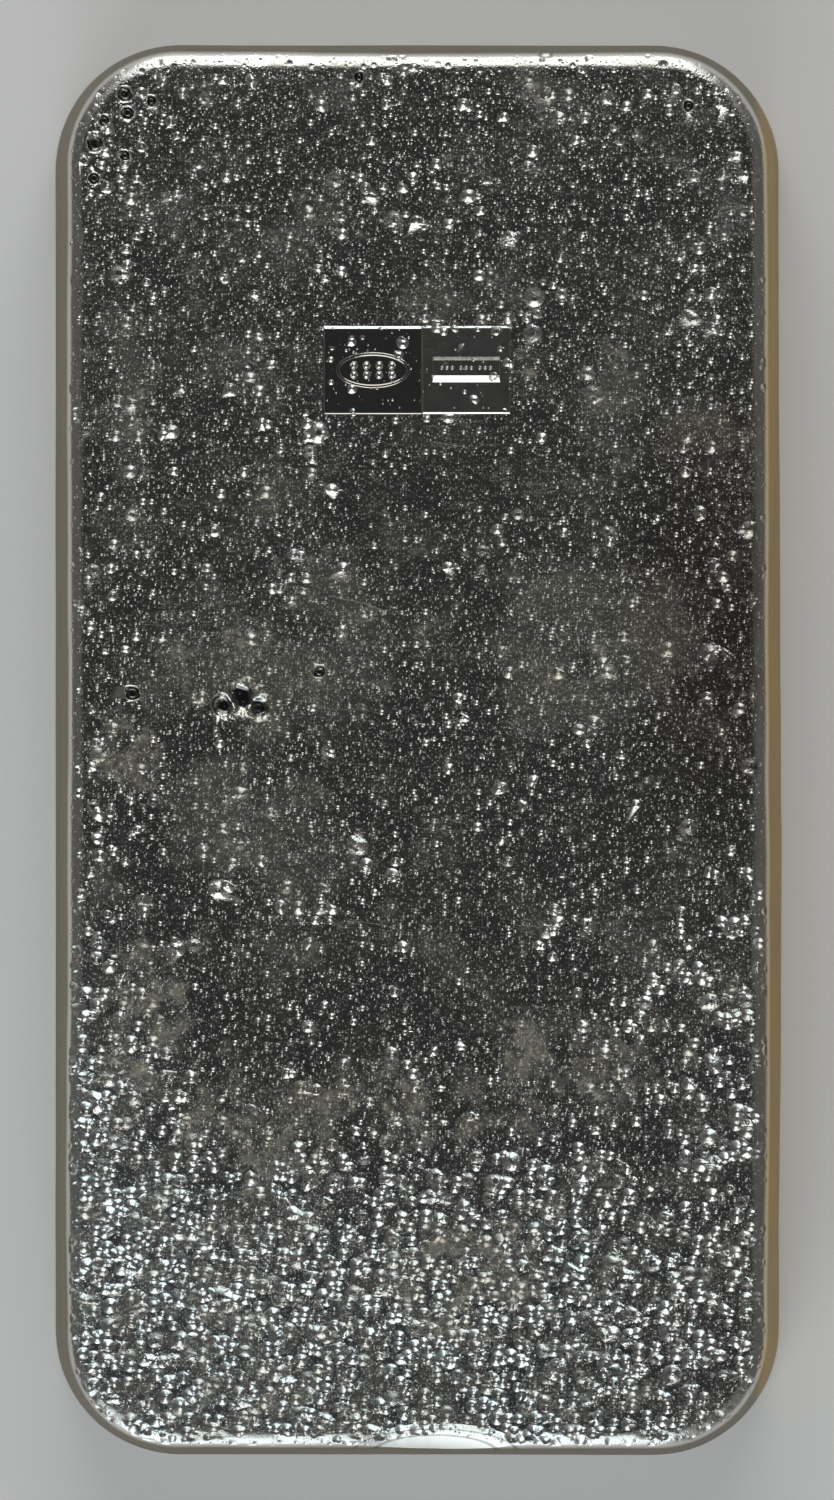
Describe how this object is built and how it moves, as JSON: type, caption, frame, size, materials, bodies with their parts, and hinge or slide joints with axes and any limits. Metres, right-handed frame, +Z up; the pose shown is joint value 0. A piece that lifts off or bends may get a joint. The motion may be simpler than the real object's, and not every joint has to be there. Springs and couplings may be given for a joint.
{
  "type": "metal ingot",
  "caption": "Flat cast silver bar with rounded corners, sloping walls, a pitted stamped face and a worn edge.",
  "frame": {"origin": "on the floor, at the centre of the foot", "axes": "+Z up through the stamped face, +Y along the length towards the stamped end, +X across to the right of the stamp"},
  "size_m": [0.056, 0.109, 0.0164],
  "materials": {
    "silver": "satin"
  },
  "bodies": {
    "root": {"ingot": "silver"}
  },
  "joints": []
}
